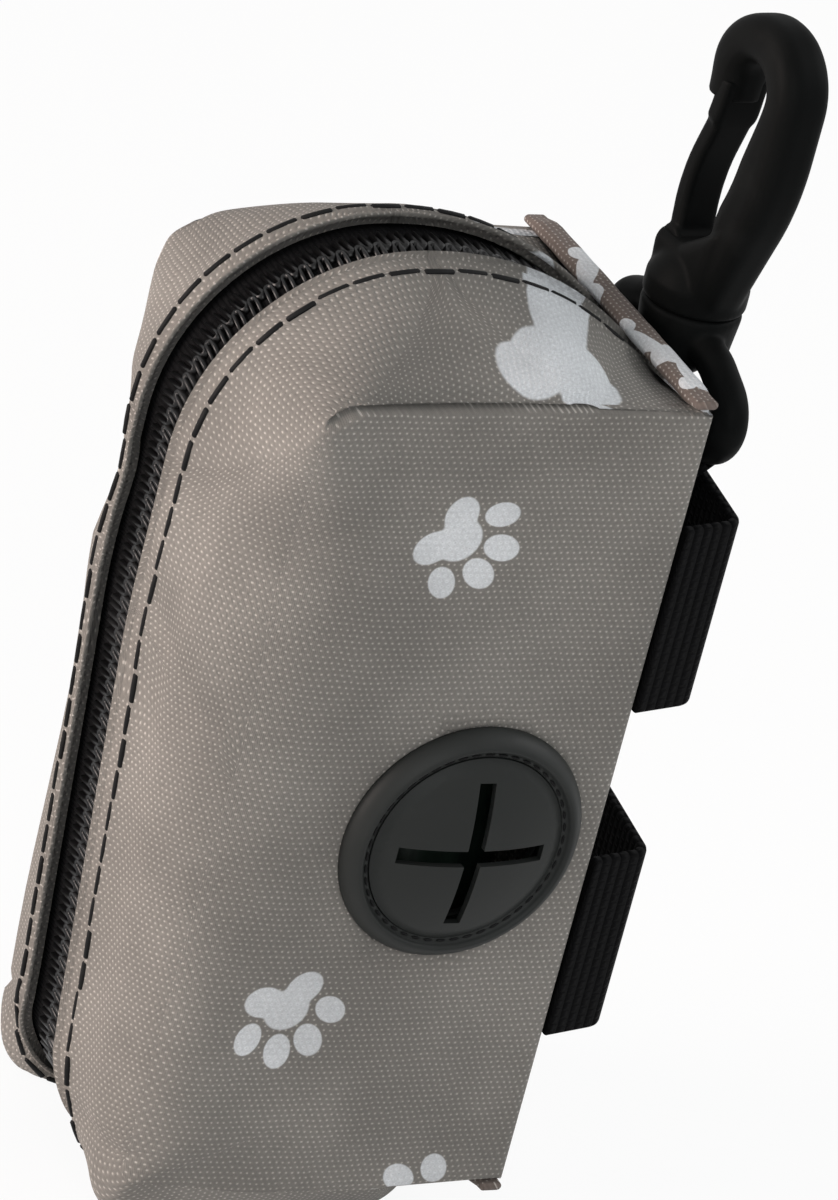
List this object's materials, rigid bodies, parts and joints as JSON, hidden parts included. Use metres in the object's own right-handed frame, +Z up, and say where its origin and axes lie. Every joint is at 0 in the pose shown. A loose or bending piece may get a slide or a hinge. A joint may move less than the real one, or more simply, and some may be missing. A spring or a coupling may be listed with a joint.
{
  "type": "dog waste bag dispenser",
  "caption": "Zipped fabric pouch that holds a roll of waste bags, with a rubber cross-slit outlet, belt loops at the back and a swivel snap hook.",
  "frame": {"origin": "on the ground under the middle of the pouch, midway between its two sides", "axes": "+Z up along the pouch, +X towards the side with the outlet, -Y towards the zip front, +Y towards the back with the belt loops and the hook"},
  "size_m": [0.0463, 0.0638, 0.1363],
  "materials": {
    "printed_fabric": "taupe oxford weave with a pale print, padded",
    "zip_tape": "black woven tape",
    "zip_teeth": "black satin nylon",
    "slider_metal": "black enamel",
    "outlet_rubber": "satin black rubber",
    "webbing": "black ribbed webbing",
    "hook_plastic": "black satin moulded plastic",
    "bag_film": "thin rolled film",
    "core_card": "plain card"
  },
  "bodies": {
    "pouch": {"right_shell": "printed_fabric", "left_shell": "printed_fabric", "back_panel": "printed_fabric", "back_binding": "printed_fabric", "zip_tape_right": "zip_tape", "zip_tape_left": "zip_tape", "zip_teeth_right": "zip_teeth", "zip_teeth_left": "zip_teeth", "zip_stops": "zip_teeth", "outlet_ring": "outlet_rubber", "outlet_backing": "outlet_rubber", "outlet_membrane": "outlet_rubber", "upper_belt_loop": "webbing", "lower_belt_loop": "webbing", "hook_tab": "webbing"},
    "slider": {"zip_slider": "slider_metal"},
    "pull": {"zip_pull": "slider_metal"},
    "ring": {"swivel_base": "hook_plastic"},
    "hook": {"snap_hook": "hook_plastic"},
    "gate": {"hook_gate": "hook_plastic"},
    "roll": {"bag_roll": "bag_film", "roll_core": "core_card"},
    "flap_a": {"outlet_flap_a": "outlet_rubber"},
    "flap_b": {"outlet_flap_b": "outlet_rubber"},
    "flap_c": {"outlet_flap_c": "outlet_rubber"},
    "flap_d": {"outlet_flap_d": "outlet_rubber"}
  },
  "joints": [
    {"name": "slider_slide", "type": "slide", "parent": "pouch", "child": "slider", "axis": [0, 1, 0], "range_m": [0, 0.013]},
    {"name": "pull_swing", "type": "hinge", "parent": "slider", "child": "pull", "pos_m": [0, -0.006, 0.0018], "axis": [-1, 0, 0], "range_deg": [0, 175]},
    {"name": "ring_swing", "type": "hinge", "parent": "pouch", "child": "ring", "pos_m": [0, 0.0301, 0.091], "axis": [-1, 0, 0], "range_deg": [0, 110]},
    {"name": "hook_swivel", "type": "hinge", "parent": "ring", "child": "hook", "pos_m": [0, 0.0301, 0.10275], "axis": [0, 0, 1], "continuous": true},
    {"name": "gate_press", "type": "hinge", "parent": "hook", "child": "gate", "pos_m": [-0.00329, 0.02981, 0.10815], "axis": [-0.0872, 0.9962, 0], "range_deg": [0, 14], "stiffness_Nm_per_rad": 0.02},
    {"name": "roll_spin", "type": "hinge", "parent": "pouch", "child": "roll", "pos_m": [0, 0.0067, 0.01045], "axis": [0, 0, 1], "continuous": true},
    {"name": "flap_a_bend", "type": "hinge", "parent": "pouch", "child": "flap_a", "pos_m": [0.024, 0.01123, 0.04528], "axis": [0, 0.7071, 0.7071], "range_deg": [0, 35], "stiffness_Nm_per_rad": 0.0005},
    {"name": "flap_b_bend", "type": "hinge", "parent": "pouch", "child": "flap_b", "pos_m": [0.024, 0.01123, 0.05473], "axis": [0, -0.7071, 0.7071], "range_deg": [0, 35], "stiffness_Nm_per_rad": 0.0005},
    {"name": "flap_c_bend", "type": "hinge", "parent": "pouch", "child": "flap_c", "pos_m": [0.024, 0.00178, 0.05473], "axis": [0, -0.7071, -0.7071], "range_deg": [0, 35], "stiffness_Nm_per_rad": 0.0005},
    {"name": "flap_d_bend", "type": "hinge", "parent": "pouch", "child": "flap_d", "pos_m": [0.024, 0.00178, 0.04528], "axis": [0, 0.7071, -0.7071], "range_deg": [0, 35], "stiffness_Nm_per_rad": 0.0005}
  ],
  "couplings": [
    {"joint": "flap_b_bend", "follows": "flap_a_bend", "ratio": 1},
    {"joint": "flap_c_bend", "follows": "flap_a_bend", "ratio": 1},
    {"joint": "flap_d_bend", "follows": "flap_a_bend", "ratio": 1}
  ]
}
